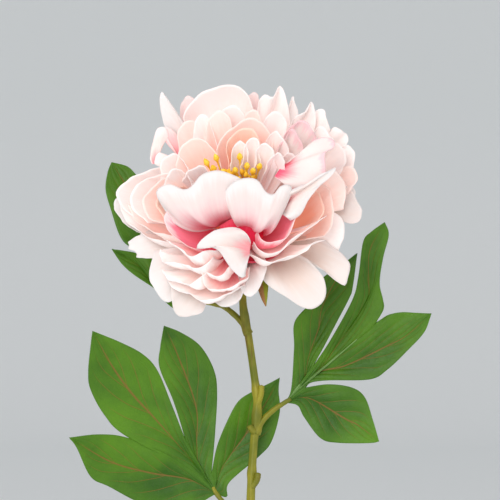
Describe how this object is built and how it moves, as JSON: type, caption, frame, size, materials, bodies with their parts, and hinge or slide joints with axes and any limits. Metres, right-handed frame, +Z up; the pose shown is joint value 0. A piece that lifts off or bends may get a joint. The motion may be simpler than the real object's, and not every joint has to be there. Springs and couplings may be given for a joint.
{
  "type": "cut peony in a bud vase",
  "caption": "Slender-necked bud vase holding one cut peony: a full double bloom of ruffled cupped petals that faces forward on a leaning stem with divided leaves.",
  "frame": {"origin": "centre of the vase's foot, on the surface it stands on", "axes": "+Z up along the vase's axis; the bloom faces -Y; +X is to the right when the bloom is seen from the front"},
  "size_m": [0.1932, 0.0951, 0.4207],
  "materials": {
    "glaze": "smooth off-white glaze, softly glossy",
    "stem": "satin olive green with fine lengthwise ridges",
    "leaf": "satin mid green with thin red-brown veins",
    "calyx": "matt yellow-green",
    "sepal": "matt olive green going brown at the edge",
    "petal": "matt, near white at the rims and deep pink at the base",
    "stamen": "matt golden yellow"
  },
  "bodies": {
    "root": {"leaf_left_high": "leaf", "leaf_left_low": "leaf", "leaf_right": "leaf", "petal_back_behind": "petal", "petal_back_pink": "petal", "petal_crown_broad": "petal", "petal_crown_narrow": "petal", "petal_crown_pointed": "petal", "petal_crown_round": "petal", "petal_crown_white": "petal", "petal_front_far_right": "petal", "petal_front_fold": "petal", "petal_front_left": "petal", "petal_front_low": "petal", "petal_front_low_left": "petal", "petal_front_right": "petal", "petal_guard_front_left": "petal", "petal_guard_front_right": "petal", "petal_guard_left": "petal", "petal_guard_left_high": "petal", "petal_guard_right_low": "petal", "petal_guard_right_tip": "petal", "petal_heart_back": "petal", "petal_heart_back_left": "petal", "petal_heart_back_right": "petal", "petal_heart_grey": "petal", "petal_heart_left": "petal", "petal_heart_orange": "petal", "petal_heart_right": "petal", "petal_hood": "petal", "petal_inner_back": "petal", "petal_inner_back_left": "petal", "petal_inner_back_right": "petal", "petal_inner_front": "petal", "petal_inner_left": "petal", "petal_inner_right": "petal", "petal_left_cup_inner": "petal", "petal_left_cup_low": "petal", "petal_left_cup_top": "petal", "petal_left_loop": "petal", "petal_left_sliver": "petal", "petal_right_crescent_high": "petal", "petal_right_crescent_low": "petal", "petal_right_ruffle": "petal", "petal_right_shade": "petal", "petal_right_white": "petal", "petal_strap_left": "petal", "receptacle": "calyx", "sepal_back": "sepal", "sepal_back_left": "sepal", "sepal_front": "sepal", "sepal_left": "sepal", "sepal_right": "sepal", "stamens": "stamen", "stem": "stem", "vase": "glaze"}
  },
  "joints": []
}
